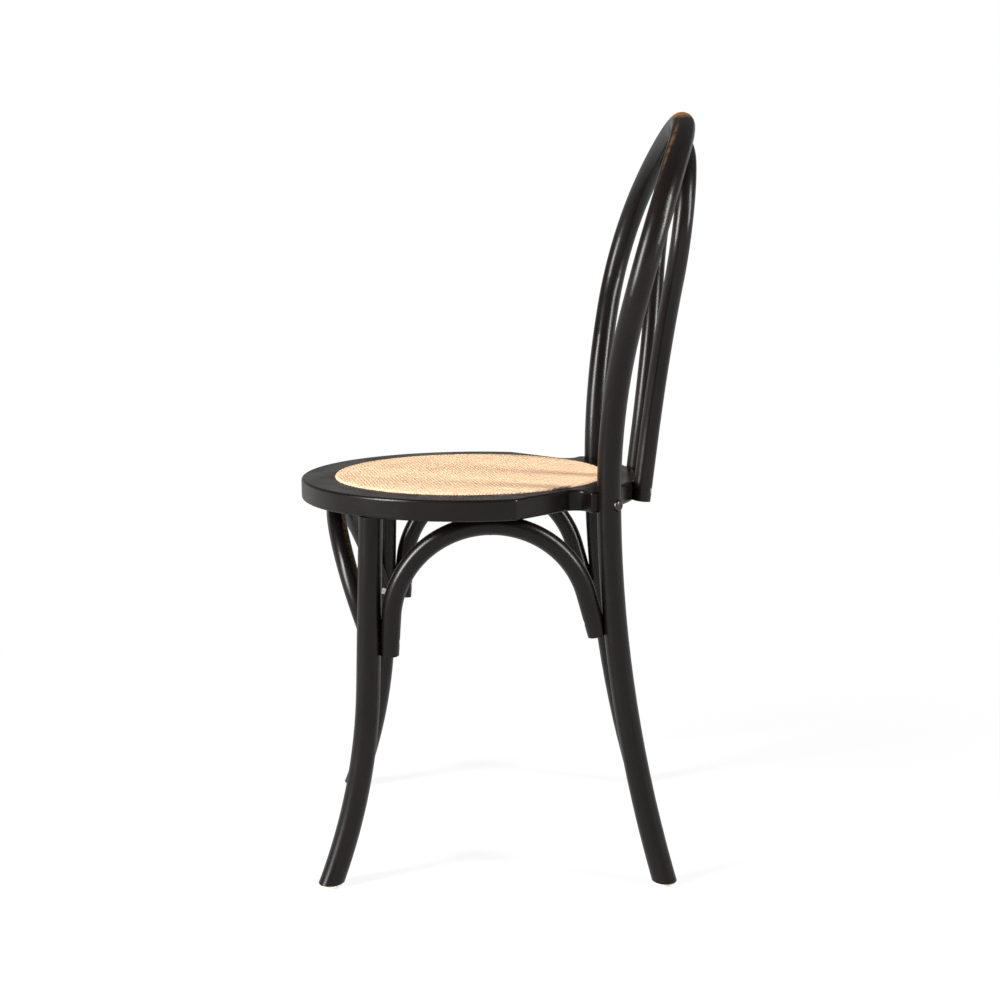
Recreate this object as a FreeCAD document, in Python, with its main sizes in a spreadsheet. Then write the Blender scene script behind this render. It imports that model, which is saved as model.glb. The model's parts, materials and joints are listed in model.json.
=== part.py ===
import FreeCAD, Part

import math
import os
import re

import Sketcher
from FreeCAD import Placement, Rotation, Vector

# Bentwood bistro chair, in millimetres. +Z is up, the chair faces -Y and the sitter's left is +X.
# The floor is Z = 0 and the origin lies under the middle of the chair's bounding box.

doc = FreeCAD.newDocument("BistroChair")
sheet = doc.addObject("Spreadsheet::Sheet", "Sizes")
workings = doc.addObject("Spreadsheet::Sheet", "Workings")

SIZES = [
    # Seat ring and seat panel
    ("seat_height", 455.0),
    ("ring_radius", 205.0),
    ("ring_thickness", 24.5),
    ("rebate_radius", 164.5),
    ("ledge_radius", 150.0),
    ("ring_edge_rounding", 3.0),
    ("rebate_edge_rounding", 1.2),
    ("facet_start_angle", 15.5),
    ("facet_heading", 135.0),
    ("facet_length", 82.5),
    ("facet_corner_rounding", 9.0),
    ("ear_hollow_radius", 14.0),
    ("ear_flare_angle", 30.0),
    ("ear_reach", 12.0),
    ("ear_tip_rounding", 2.5),
    ("board_thickness", 7.0),
    ("mat_thickness", 1.6),
    ("mat_stand", 2.3),
    ("mat_edge_rounding", 1.2),
    ("panel_gap", 0.5),
    # Back hoop, which is also the rear legs
    ("hoop_diameter", 27.8),
    ("waist_height", 453.0),
    ("waist_half", 144.5),
    ("waist_back", 161.5),
    ("hoop_half", 208.0),
    ("hoop_flare_radius", 440.0),
    ("hoop_shoulder_radius", 125.0),
    ("hoop_height", 886.5),
    ("hoop_foot_half", 190.0),
    ("hoop_foot_back", 63.7),
    ("hoop_crown_back", 93.5),
    # Inner loop of the back
    ("loop_diameter", 22.5),
    ("loop_foot_half", 61.5),
    ("loop_half", 137.0),
    ("loop_flare_radius", 360.0),
    ("loop_shoulder_radius", 95.0),
    ("loop_crown_rise", 103.0),
    ("loop_cope", 1.0),
    # Front legs
    ("leg_diameter", 28.0),
    ("leg_top_half", 155.5),
    ("leg_top_front", 111.4),
    ("leg_lean_angle", 2.1),
    ("leg_bend_radius", 600.0),
    ("leg_bend_height", 229.0),
    ("leg_sweep_angle", 58.5),
    ("tenon_diameter", 18.0),
    ("tenon_length", 16.0),
    ("foot_chamfer", 1.5),
    # Braces
    ("brace_diameter", 23.0),
    ("side_crown_inset", 39.0),
    ("front_crown_inset", 42.0),
    ("brace_front_height", 283.0),
    ("brace_front_lean", 4.0),
    ("brace_rear_height", 302.0),
    ("brace_rear_lean", 15.5),
    ("brace_tail", 15.0),
    ("brace_cope", 1.2),
    ("crown_flat", 1.5),
    # Feet
    ("glide_height", 3.5),
    ("glide_diameter", 23.0),
    ("glide_rounding", 1.0),
    ("nail_head_diameter", 7.0),
    ("nail_head_height", 1.2),
    ("nail_head_depth", 2.0),
    ("nail_diameter", 2.4),
    ("nail_length", 20.0),
    # Bolts through the rear legs
    ("bolt_diameter", 6.0),
    ("bolt_head_diameter", 13.0),
    ("bolt_head_height", 3.6),
    ("bolt_head_rounding", 2.6),
    ("bolt_seat_depth", 1.4),
    ("washer_diameter", 12.0),
    ("washer_thickness", 1.2),
    ("washer_seat_depth", 1.0),
    ("nut_width", 10.0),
    ("nut_height", 5.0),
    ("bolt_overhang", 2.0),
    ("hole_gap", 0.1),
    ("seat_gap", 0.5),
    # Wood screws
    ("screw_diameter", 4.0),
    ("screw_head_diameter", 8.0),
    ("screw_head_height", 2.6),
    ("screw_sink", 0.4),
    ("screw_slot_width", 1.0),
    ("screw_slot_depth", 1.2),
    ("brace_screw_length", 34.0),
    ("loop_screw_length", 40.0),
    ("crown_screw_length", 38.0),
    ("panel_screw_length", 22.0),
    ("panel_screw_circle", 156.5),
    ("panel_screw_angle", 30.0),
    ("screw_point_length", 3.0),
]

for row, (alias, value) in enumerate(SIZES, start=1):
    sheet.set("A%d" % row, alias)
    sheet.set("B%d" % row, repr(value))
    sheet.setAlias("B%d" % row, alias)
doc.recompute()


def size(alias):
    """The value of one named size."""
    return float(sheet.get(alias))


ALIASES = [alias for alias, value in SIZES]


def bound(expression):
    """The same expression as an object of the document has to write it."""
    return re.sub(r"[a-z_]+", lambda word: "Sizes." + word[0] if word[0] in ALIASES else word[0], expression)


def value_of(expression):
    """The number that an expression of sizes gives now."""
    workings.set("A1", "=" + bound(expression))
    workings.recompute()
    return float(workings.get("A1"))


# Sizes that follow from the driving ones and that several pieces share
DERIVED = {
    "rebate_depth": "(board_thickness + mat_thickness - mat_stand)",
    "board_radius": "(rebate_radius - panel_gap - mat_thickness)",
    "mat_radius": "(rebate_radius - panel_gap)",
}
hoop_r = size("hoop_diameter") / 2
loop_r = size("loop_diameter") / 2
leg_r = size("leg_diameter") / 2
brace_r = size("brace_diameter") / 2
ring_r = size("ring_radius")
ring_top = size("seat_height")
ring_bottom = ring_top - size("ring_thickness")
ring_middle = (ring_top + ring_bottom) / 2
ledge_top = ring_top - value_of(DERIVED["rebate_depth"])
ledge_middle = (ledge_top + ring_bottom) / 2
glide_top = size("glide_height")
crown_z = size("hoop_height") - hoop_r
waist_z = size("waist_height")
waist_y = size("waist_back")
crown_y = waist_y + size("hoop_crown_back")

# The seat centre lies in front of the origin, so that the origin is the middle of the whole depth
seat_y = (ring_r - (crown_y + hoop_r)) / 2

# How far the bent rods run on below the floor before their feet are sawn level
SAWN_OFF = 40.0


def place(x, y, z):
    """Point whose y counts from the seat centre."""
    return Vector(x, y + seat_y, z)


def arc_radius(run, drift):
    """Radius of an arc that starts straight ahead and has drifted sideways after a run."""
    return (run ** 2 + drift ** 2) / (2 * drift)


def arc_drift(radius, run):
    """Sideways drift of an arc after a run, and its slope there."""
    ahead = math.sqrt(radius ** 2 - run ** 2)
    return radius - ahead, run / ahead


class Arch:
    """Outline of a rod that rises, flares out, turns over a shoulder and closes in a crown.

    The flare, shoulder and crown are arcs, each tangent to the next. A point is a half width and a
    height, with the rod's heading there, counted from straight up and positive outwards.
    """

    def __init__(self, foot_half, wide_half, flare, shoulder):
        self.foot_half = foot_half
        self.flare = flare
        self.shoulder = shoulder
        self.shoulder_x = wide_half - shoulder
        self.turn = math.acos(1 - (wide_half - foot_half) / (flare + shoulder))
        self.flare_rise = (flare + shoulder) * math.sin(self.turn)

    def close(self, wide_z, crown):
        """Set the height where the outline is widest and the height of its crown."""
        rise = crown - wide_z
        self.wide_z = wide_z
        self.flare_z = wide_z - self.flare_rise
        self.crown_r = (self.shoulder_x ** 2 + rise ** 2 - self.shoulder ** 2) / (2 * (rise - self.shoulder))
        self.crown_centre = crown - self.crown_r
        self.crown_turn = math.atan2(self.shoulder_x, wide_z - self.crown_centre)
        return self

    def on_flare(self, part):
        angle = self.turn * part
        half = self.foot_half + self.flare * (1 - math.cos(angle))
        return half, self.flare_z + self.flare * math.sin(angle), angle

    def on_shoulder(self, part):
        angle = -self.turn + (math.pi / 2 - self.crown_turn + self.turn) * part
        half = self.shoulder_x + self.shoulder * math.cos(angle)
        return half, self.wide_z + self.shoulder * math.sin(angle), -angle

    def on_crown(self, part):
        angle = self.crown_turn * (1 - part)
        half = self.crown_r * math.sin(angle)
        return half, self.crown_centre + self.crown_r * math.cos(angle), angle - math.pi / 2


def arc_between(start, corner, end):
    """Arc from start to end whose end tangents meet at the corner, as far from one as the other."""
    middle = (start + end) * 0.5
    half_chord = (end - start).Length / 2
    leg = (corner - start).Length
    rise = half_chord * (leg - half_chord) / (corner - middle).Length
    top = middle + (corner - middle).normalize() * rise
    return Part.Arc(start, top, end).toShape()


def tangent_arcs(points, directions):
    """Wire through the points, two arcs a span, with the given direction at each point."""
    edges = []
    for i in range(len(points) - 1):
        start, end = points[i], points[i + 1]
        first, last = directions[i], directions[i + 1]
        chord = end - start
        spread = 2 * (1 - first.dot(last))
        reach = chord.dot(first + last)
        leg = (-reach + math.sqrt(reach ** 2 + spread * chord.dot(chord))) / spread
        joint = (start + first * leg + end - last * leg) * 0.5
        edges.append(arc_between(start, start + first * leg, joint))
        edges.append(arc_between(joint, end - last * leg, end))
    return Part.Wire(edges)


def check_volume(name, shape, expected):
    if abs(shape.Volume / expected - 1) > 0.005:
        raise RuntimeError("%s: volume %.0f, expected %.0f" % (name, shape.Volume, expected))


def swept_rod(name, wire, diameter):
    """Round rod along a wire, its diameter one of the sizes."""
    path = doc.addObject("Part::Feature", name + "_path")
    path.Shape = wire
    first = wire.OrderedEdges[0]
    circle = doc.addObject("Part::Circle", name + "_section")
    circle.setExpression("Radius", bound(diameter + " / 2"))
    start = wire.OrderedVertexes[0].Point
    ahead = first.tangentAt(first.FirstParameter)
    circle.Placement = Placement(start, Rotation(Vector(0, 0, 1), ahead))
    rod = doc.addObject("Part::Sweep", name + "_rod")
    rod.Sections = [circle]
    rod.Spine = (path, ["Edge%d" % (i + 1) for i in range(len(wire.Edges))])
    rod.Solid = True
    rod.Frenet = False
    doc.recompute()
    check_volume(name, rod.Shape, math.pi * (size(diameter) / 2) ** 2 * wire.Length)
    return rod


def cut(name, base, *tools):
    """The base less each tool in turn."""
    for number, tool in enumerate(tools, start=1):
        result = doc.addObject("Part::Cut", "%s_cut_%d" % (name, number))
        result.Base = base
        result.Tool = tool
        base = result
    doc.recompute()
    return base


def cylinder(name, radius, height, centre, axis):
    """Cylinder from a centre along an axis, its radius and height expressions."""
    piece = doc.addObject("Part::Cylinder", name)
    piece.setExpression("Radius", bound(radius))
    piece.setExpression("Height", bound(height))
    piece.Placement = Placement(centre, Rotation(Vector(0, 0, 1), axis))
    return piece


def joined(name, pieces):
    fused = doc.addObject("Part::MultiFuse", name)
    fused.Shapes = pieces
    doc.recompute()
    return fused


def mirrored(name, source):
    """The same piece on the chair's other side."""
    piece = doc.addObject("Part::Mirroring", name)
    piece.Source = source
    piece.Normal = Vector(1, 0, 0)
    doc.recompute()
    return piece


def new_body(name, placement=None):
    body = doc.addObject("PartDesign::Body", name)
    if placement:
        body.Placement = placement
    return body


def new_sketch(body, name, role, lift=None):
    """Sketch on one of the body's own origin planes, lifted by an expression."""
    sketch = body.newObject("Sketcher::SketchObject", name)
    origin_plane = next(item for item in body.Origin.OriginFeatures if item.Role == role)
    sketch.AttachmentSupport = (origin_plane, [""])
    sketch.MapMode = "FlatFace"
    if lift:
        sketch.setExpression("AttachmentOffset.Base.z", bound(lift))
    return sketch


def drive(sketch, constraint, expression):
    """Add a constraint whose value is an expression of sizes."""
    row = sketch.addConstraint(constraint)
    sketch.setExpression("Constraints[%d]" % row, bound(expression))


def circle_sketch(body, name, radius, lift=None, centre_x=None):
    """Sketch of one circle on the body's XY plane."""
    sketch = new_sketch(body, name, "XY_Plane", lift)
    start_r = value_of(radius)
    start_x = value_of(centre_x) if centre_x else 0.0
    sketch.addGeometry(Part.Circle(Vector(start_x, 0, 0), Vector(0, 0, 1), start_r))
    drive(sketch, Sketcher.Constraint("Radius", 0, start_r), radius)
    if centre_x:
        sketch.addConstraint(Sketcher.Constraint("PointOnObject", 0, 3, -1))
        drive(sketch, Sketcher.Constraint("DistanceX", -1, 1, 0, 3, start_x), centre_x)
    else:
        sketch.addConstraint(Sketcher.Constraint("Coincident", 0, 3, -1, 1))
    return sketch


def pad(body, name, sketch, length):
    feature = body.newObject("PartDesign::Pad", name)
    feature.Profile = sketch
    feature.setExpression("Length", bound(length))
    doc.recompute()
    return feature


def pocket(body, name, sketch, depth, up=False):
    """Pocket down from its sketch, or up where the sketch lies on the underside."""
    before = body.Shape.Volume
    feature = body.newObject("PartDesign::Pocket", name)
    feature.Profile = sketch
    feature.setExpression("Length", bound(depth))
    feature.Reversed = up
    doc.recompute()
    if body.Shape.Volume >= before:
        raise RuntimeError(name + " removes nothing")
    return feature


def round_edges(body, name, chosen, radius):
    """Fillet every edge of the body's last feature that the test chooses."""
    base = body.Tip
    names = ["Edge%d" % (i + 1) for i, edge in enumerate(base.Shape.Edges) if chosen(edge)]
    feature = body.newObject("PartDesign::Fillet", name)
    feature.Base = (base, names)
    feature.setExpression("Radius", bound(radius))
    doc.recompute()
    return feature


def at_height(edge, height):
    """Whether an edge lies level at a height of its own body."""
    box = edge.BoundBox
    return abs(box.ZMin - height) < 1e-4 and abs(box.ZMax - height) < 1e-4


def lathe(name, outline):
    """Turned piece about its body's Z axis: the outline's points are radius and height expressions."""
    body = new_body(name)
    sketch = new_sketch(body, name + "_profile", "XZ_Plane")
    points = [Vector(value_of(radius), value_of(height), 0) for radius, height in outline]
    count = len(points)
    for i in range(count):
        sketch.addGeometry(Part.LineSegment(points[i], points[(i + 1) % count]))
    for i in range(count):
        sketch.addConstraint(Sketcher.Constraint("Coincident", i, 2, (i + 1) % count, 1))
    for i, (radius, height) in enumerate(outline):
        if radius == "0":
            sketch.addConstraint(Sketcher.Constraint("PointOnObject", i, 1, -2))
        else:
            drive(sketch, Sketcher.Constraint("DistanceX", -1, 1, i, 1, points[i].x), radius)
        if height == "0":
            sketch.addConstraint(Sketcher.Constraint("PointOnObject", i, 1, -1))
        else:
            drive(sketch, Sketcher.Constraint("DistanceY", -1, 1, i, 1, points[i].y), height)
    turned = body.newObject("PartDesign::Revolution", name + "_turned")
    turned.Profile = sketch
    turned.ReferenceAxis = (sketch, ["V_Axis"])
    turned.Angle = 360
    doc.recompute()
    return body


def copies(name, master, placements):
    """Group of separate copies of one piece."""
    placed = []
    for number, placement in enumerate(placements, start=1):
        piece = doc.addObject("Part::Feature", "%s_%d" % (name, number))
        piece.Shape = master.Shape
        piece.Placement = placement
        placed.append(piece)
    group = doc.addObject("Part::Compound", name)
    group.Links = placed
    doc.recompute()
    return group


def facing(point, axis, turn=0.0):
    """Placement that puts a piece's own Z axis along an axis at a point, the piece turned about it."""
    return Placement(point, Rotation(Vector(0, 0, 1), axis) * Rotation(Vector(0, 0, 1), turn))


# Back hoop: outline seen from the front, and how far back the rod lies at each height
hoop_outline = Arch(size("waist_half"), size("hoop_half"), size("hoop_flare_radius"),
                    size("hoop_shoulder_radius"))
hoop_outline.close(waist_z + hoop_outline.flare_rise, crown_z)
splay_radius = arc_radius(waist_z, size("hoop_foot_half") - size("waist_half"))
foot_radius = arc_radius(waist_z, size("hoop_foot_back"))
back_radius = arc_radius(crown_z - waist_z, size("hoop_crown_back"))


def hoop_depth(z):
    """How far back the hoop lies at a height, and its slope there."""
    if z < waist_z:
        drift, slope = arc_drift(foot_radius, waist_z - z)
        return waist_y + drift, -slope
    drift, slope = arc_drift(back_radius, z - waist_z)
    return waist_y + drift, slope


def hoop_side_axis(z):
    """Point of the hoop's left side at a height below its shoulder, and its direction."""
    back, back_slope = hoop_depth(z)
    if z < waist_z:
        drift, slope = arc_drift(splay_radius, waist_z - z)
        slope = -slope
    else:
        drift, slope = arc_drift(size("hoop_flare_radius"), z - waist_z)
    return place(size("waist_half") + drift, back, z), Vector(slope, back_slope, 1).normalize()


def hoop_upper_axis(half, z, heading):
    """Point of the hoop above the waist, and its direction."""
    back, slope = hoop_depth(z)
    direction = Vector(math.sin(heading), slope * math.cos(heading), math.cos(heading))
    return place(half, back, z), direction.normalize()


LEG_SPANS = 3
rising = [hoop_side_axis(-SAWN_OFF + (waist_z + SAWN_OFF) * i / LEG_SPANS) for i in range(LEG_SPANS + 1)]
rising += [hoop_upper_axis(*hoop_outline.on_flare(part)) for part in (0.5, 1.0)]
rising += [hoop_upper_axis(*hoop_outline.on_shoulder(part)) for part in (0.35, 0.7, 1.0)]
rising += [hoop_upper_axis(*hoop_outline.on_crown(part)) for part in (0.5, 1.0)]
falling = [(Vector(-point.x, point.y, point.z), Vector(ahead.x, -ahead.y, -ahead.z))
           for point, ahead in reversed(rising[:-1])]
hoop_wire = tangent_arcs([point for point, ahead in rising + falling],
                         [ahead for point, ahead in rising + falling])
hoop_rod = swept_rod("hoop", hoop_wire, "hoop_diameter")

# Inner loop: a flat bend that leans from the back of the ring to the underside of the hoop's crown
loop_foot_y = math.sqrt((ring_r + loop_r - size("loop_cope")) ** 2 - size("loop_foot_half") ** 2)
loop_crown_z = crown_z - (hoop_r + loop_r - size("loop_cope"))
loop_rise = math.hypot(crown_y - loop_foot_y, loop_crown_z - ring_middle)
loop_lean_y = (crown_y - loop_foot_y) / loop_rise
loop_lean_z = (loop_crown_z - ring_middle) / loop_rise
loop_outline = Arch(size("loop_foot_half"), size("loop_half"), size("loop_flare_radius"),
                    size("loop_shoulder_radius"))
loop_outline.close(loop_rise - size("loop_crown_rise"), loop_rise)


def in_loop(side, half, along):
    """Point of the loop's plane, from its half width and its distance up the slope."""
    return place(side * half, loop_foot_y + along * loop_lean_y, ring_middle + along * loop_lean_z)


def loop_arc(side, start, middle, end):
    return Part.Arc(*[in_loop(side, *point[:2]) for point in (start, middle, end)]).toShape()


loop_edges = []
loop_end = (ring_bottom - ring_middle) / loop_lean_z
for side in (1, -1):
    foot = in_loop(side, size("loop_foot_half"), loop_end)
    bend = in_loop(side, size("loop_foot_half"), loop_outline.flare_z)
    edges = [
        Part.LineSegment(foot, bend).toShape(),
        loop_arc(side, *[loop_outline.on_flare(part) for part in (0, 0.5, 1)]),
        loop_arc(side, *[loop_outline.on_shoulder(part) for part in (0, 0.5, 1)]),
        loop_arc(side, *[loop_outline.on_crown(part) for part in (0, 0.5, 1)]),
    ]
    loop_edges.append(edges)
loop_wire = Part.Wire(Part.sortEdges(loop_edges[0] + loop_edges[1])[0])
loop_rod = swept_rod("loop", loop_wire, "loop_diameter")

# Front leg: straight and slightly leaning above, bent out towards the foot. Its body has X along the
# sweep and its origin at the middle of the leg's shoulder, under the ring.
leg_turn = Rotation(Vector(0, 0, 1), -size("leg_sweep_angle"))
leg_top = place(size("leg_top_half"), -size("leg_top_front"), ring_bottom)
lean = math.radians(size("leg_lean_angle"))
straight_run = (ring_bottom - size("leg_bend_height")) / math.cos(lean)


def leg_axis(z):
    """Point of the left front leg's axis at a height."""
    drop = ring_bottom - z
    sweep = drop * math.tan(lean)
    if z < size("leg_bend_height"):
        radius = size("leg_bend_radius")
        sine = math.sin(lean) + (size("leg_bend_height") - z) / radius
        straight_down = ring_bottom - size("leg_bend_height")
        sweep = straight_down * math.tan(lean) + radius * (math.cos(lean) - math.sqrt(1 - sine ** 2))
    return leg_top + leg_turn.multVec(Vector(sweep, 0, -drop))


def make_front_leg():
    body = new_body("leg_blank", Placement(leg_top, leg_turn))
    path = new_sketch(body, "leg_path", "XZ_Plane")
    radius = size("leg_bend_radius")
    bend = Vector(straight_run * math.sin(lean), -straight_run * math.cos(lean), 0)
    centre = bend + Vector(radius * math.cos(lean), radius * math.sin(lean), 0)
    last = math.asin(math.sin(lean) + (size("leg_bend_height") + SAWN_OFF) / radius)
    path.addGeometry(Part.LineSegment(Vector(0, 0, 0), bend))
    circle = Part.Circle(centre, Vector(0, 0, 1), radius)
    path.addGeometry(Part.ArcOfCircle(circle, math.pi + lean, math.pi + last))
    path.addConstraint(Sketcher.Constraint("Coincident", 0, 1, -1, 1))
    path.addConstraint(Sketcher.Constraint("Tangent", 0, 2, 1, 1))
    drive(path, Sketcher.Constraint("DistanceX", 0, 1, 0, 2, bend.x),
          "(seat_height - ring_thickness - leg_bend_height) * tan(leg_lean_angle)")
    drive(path, Sketcher.Constraint("DistanceY", 0, 2, 0, 1, -bend.y),
          "seat_height - ring_thickness - leg_bend_height")
    drive(path, Sketcher.Constraint("Radius", 1, radius), "leg_bend_radius")
    drive(path, Sketcher.Constraint("DistanceY", 1, 2, 0, 1, ring_bottom + SAWN_OFF),
          "seat_height - ring_thickness + %g" % SAWN_OFF)
    pipe = body.newObject("PartDesign::AdditivePipe", "leg_pipe")
    pipe.Profile = circle_sketch(body, "leg_section", "leg_diameter / 2")
    pipe.Spine = (path, ["Edge1", "Edge2"])
    doc.recompute()
    pad(body, "leg_tenon", circle_sketch(body, "tenon_section", "tenon_diameter / 2"), "tenon_length")
    length = straight_run + radius * (last - lean)
    tenon = math.pi * (size("tenon_diameter") / 2) ** 2 * size("tenon_length")
    check_volume("front leg", body.Shape, math.pi * leg_r ** 2 * length + tenon)
    return body


def sawn_level(name, rod):
    """Saw the feet of a rod level at the top of the glides and break their edge."""
    floor = doc.addObject("Part::Box", name + "_below")
    reach = 2 * (size("hoop_foot_half") + size("hoop_foot_back") + ring_r)
    floor.Length = reach
    floor.Width = reach
    floor.Height = 2 * SAWN_OFF
    floor.Placement = Placement(Vector(-reach / 2, -reach / 2, glide_top - 2 * SAWN_OFF), Rotation())
    sawn = cut(name + "_sawn", rod, floor)
    edges = [i + 1 for i, edge in enumerate(sawn.Shape.Edges) if at_height(edge, glide_top)]
    broken = doc.addObject("Part::Chamfer", name + "_broken_edge")
    broken.Base = sawn
    broken.Edges = [(i, size("foot_chamfer"), size("foot_chamfer")) for i in edges]
    doc.recompute()
    return broken


leg_blank = make_front_leg()
leg_sawn = sawn_level("front_leg", leg_blank)
hoop_sawn = sawn_level("hoop", hoop_rod)


# Braces: flat arches that lean out over their two legs, so that the crown meets the ring from below
class Brace:
    """An arch in a leaning plane: an arc that runs on, at each end, into a straight line.

    The plane holds the points where the ends are screwed on and the wanted place of the crown. In the
    plane a point is its distance along a level line and up the slope, from the middle of the screw points.
    The two straight lines lean apart downwards, each by its own angle.
    """

    def __init__(self, point_1, point_2, crown, lean_1, lean_2):
        self.middle = (point_1 + point_2) * 0.5
        self.screw_points = (point_1, point_2)
        through = (point_2 - point_1).cross(crown - self.middle)
        self.along = Vector(0, 0, 1).cross(through).normalize()
        self.up = through.cross(self.along).normalize()
        self.lean_1 = math.radians(lean_1)
        self.lean_2 = math.radians(lean_2)
        self.foot_1 = self.in_plane(point_1)
        self.foot_2 = self.in_plane(point_2)
        top = (crown - self.middle).dot(self.up)
        # Where each straight line would reach the crown's level, and how far the arc turns in from there
        reach_1 = self.foot_1[0] + (top - self.foot_1[1]) * math.tan(self.lean_1)
        reach_2 = self.foot_2[0] - (top - self.foot_2[1]) * math.tan(self.lean_2)
        turn_1 = (1 - math.sin(self.lean_1)) / math.cos(self.lean_1)
        turn_2 = (1 - math.sin(self.lean_2)) / math.cos(self.lean_2)
        self.radius = (reach_2 - reach_1) / (turn_1 + turn_2)
        self.centre = (reach_1 + self.radius * turn_1, top - self.radius)
        self.crown = self.point(self.centre[0], top)

    def in_plane(self, point):
        offset = point - self.middle
        return offset.dot(self.along), offset.dot(self.up)

    def point(self, level, slope):
        return self.middle + self.along * level + self.up * slope

    def wire(self, tail):
        """Path of the rod; its ends lie a tail below the screw points."""
        sine_1, cosine_1 = math.sin(self.lean_1), math.cos(self.lean_1)
        sine_2, cosine_2 = math.sin(self.lean_2), math.cos(self.lean_2)
        centre_x, centre_y = self.centre
        end_1 = self.point(self.foot_1[0] - tail * sine_1, self.foot_1[1] - tail * cosine_1)
        bend_1 = self.point(centre_x - self.radius * cosine_1, centre_y + self.radius * sine_1)
        bend_2 = self.point(centre_x + self.radius * cosine_2, centre_y + self.radius * sine_2)
        end_2 = self.point(self.foot_2[0] + tail * sine_2, self.foot_2[1] - tail * cosine_2)
        edges = [
            Part.LineSegment(end_1, bend_1).toShape(),
            Part.Arc(bend_1, self.crown, bend_2).toShape(),
            Part.LineSegment(bend_2, end_2).toShape(),
        ]
        return Part.Wire(edges)


crown_axis_z = ring_bottom - brace_r + size("crown_flat")
leg_stand_off = leg_r + brace_r - size("brace_cope")
hoop_stand_off = hoop_r + brace_r - size("brace_cope")


def make_side_brace():
    front = leg_axis(size("brace_front_height")) + Vector(0, leg_stand_off, 0)
    rear = hoop_side_axis(size("brace_rear_height"))[0] - Vector(0, hoop_stand_off, 0)
    crown = Vector(ring_r - size("side_crown_inset"), (front.y + rear.y) / 2, crown_axis_z)
    return Brace(front, rear, crown, size("brace_front_lean"), size("brace_rear_lean"))


def make_front_brace():
    left = leg_axis(size("brace_front_height")) - Vector(leg_stand_off, 0, 0)
    right = Vector(-left.x, left.y, left.z)
    crown = Vector(0, seat_y - ring_r + size("front_crown_inset"), crown_axis_z)
    return Brace(right, left, crown, size("brace_front_lean"), size("brace_front_lean"))


side_brace = make_side_brace()
front_brace = make_front_brace()
side_brace_rod = swept_rod("side_brace", side_brace.wire(size("brace_tail")), "brace_diameter")
front_brace_rod = swept_rod("front_brace", front_brace.wire(size("brace_tail")), "brace_diameter")


# Seat ring
def ring_outline():
    """Half outline of the ring, from its front to its back, as edges and their mirror images."""
    def polar(radius, degrees):
        angle = math.radians(degrees)
        return Vector(radius * math.cos(angle), radius * math.sin(angle), 0)

    start = size("facet_start_angle")
    corner = polar(ring_r, start)
    facet_end = corner + polar(size("facet_length"), size("facet_heading"))
    hollow = size("ear_hollow_radius")
    centre = facet_end + polar(hollow, size("facet_heading") - 90)
    hollow_end = centre + polar(hollow, size("ear_flare_angle") + 90)
    middle_heading = (size("facet_heading") + size("ear_flare_angle")) / 2
    hollow_middle = centre + polar(hollow, middle_heading + 90)
    tip = hollow_end + polar(size("ear_reach"), size("ear_flare_angle"))
    rod_point = hoop_side_axis(ring_middle)[0] - Vector(0, seat_y, 0)
    rod_point.z = 0
    rod_angle = math.degrees(math.atan2(rod_point.y, rod_point.x))
    behind = polar(ring_r, rod_angle)
    edges = []
    for side in (1, -1):
        def at(point):
            return Vector(side * point.x, point.y, 0)
        edges.append(Part.Arc(at(polar(ring_r, -90)), at(polar(ring_r, (start - 90) / 2)), at(corner)))
        edges.append(Part.LineSegment(at(corner), at(facet_end)))
        edges.append(Part.Arc(at(facet_end), at(hollow_middle), at(hollow_end)))
        edges.append(Part.LineSegment(at(hollow_end), at(tip)))
        edges.append(Part.LineSegment(at(tip), at(rod_point)))
        edges.append(Part.LineSegment(at(rod_point), at(behind)))
        edges.append(Part.Arc(at(behind), at(polar(ring_r, (rod_angle + 90) / 2)), at(polar(ring_r, 90))))
    return edges, corner, tip


def make_ring():
    body = new_body("ring_blank", Placement(Vector(0, seat_y, ring_bottom), Rotation()))
    sketch = new_sketch(body, "ring_outline", "XY_Plane")
    edges, corner, tip = ring_outline()
    for edge in edges:
        sketch.addGeometry(edge)
    pad(body, "ring_pad", sketch, "ring_thickness")

    def upright_at(edge, point):
        box = edge.BoundBox
        level = abs(box.XMax - box.XMin) + abs(box.YMax - box.YMin)
        return level < 1e-4 and math.hypot(abs(box.XMin) - point.x, box.YMin - point.y) < 0.01

    round_edges(body, "facet_corners", lambda edge: upright_at(edge, corner), "facet_corner_rounding")
    round_edges(body, "ear_tips", lambda edge: upright_at(edge, tip), "ear_tip_rounding")
    thickness = size("ring_thickness")
    rim = size("rebate_radius")

    def distance_out(edge):
        middle = edge.valueAt((edge.FirstParameter + edge.LastParameter) / 2)
        return math.hypot(middle.x, middle.y)

    def on_outline(edge):
        return (at_height(edge, thickness) or at_height(edge, 0)) and distance_out(edge) > rim

    round_edges(body, "outer_rounding", on_outline, "ring_edge_rounding")
    rebate = circle_sketch(body, "rebate_edge", "rebate_radius", "ring_thickness")
    pocket(body, "rebate", rebate, DERIVED["rebate_depth"])
    opening = circle_sketch(body, "opening_edge", "ledge_radius", "ring_thickness")
    pocket(body, "opening", opening, "ring_thickness")

    def rebate_rim(edge):
        return at_height(edge, thickness) and abs(distance_out(edge) - rim) < 0.01

    round_edges(body, "rebate_rounding", rebate_rim, "rebate_edge_rounding")
    return body


ring_blank = make_ring()


# Seat panel: a board in the rebate and the woven mat that wraps its face and edge
def make_board():
    body = new_body("seat_board", Placement(Vector(0, seat_y, ledge_top), Rotation()))
    disc = circle_sketch(body, "board_outline", DERIVED["board_radius"])
    pad(body, "board_disc", disc, "board_thickness")
    return body


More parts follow.
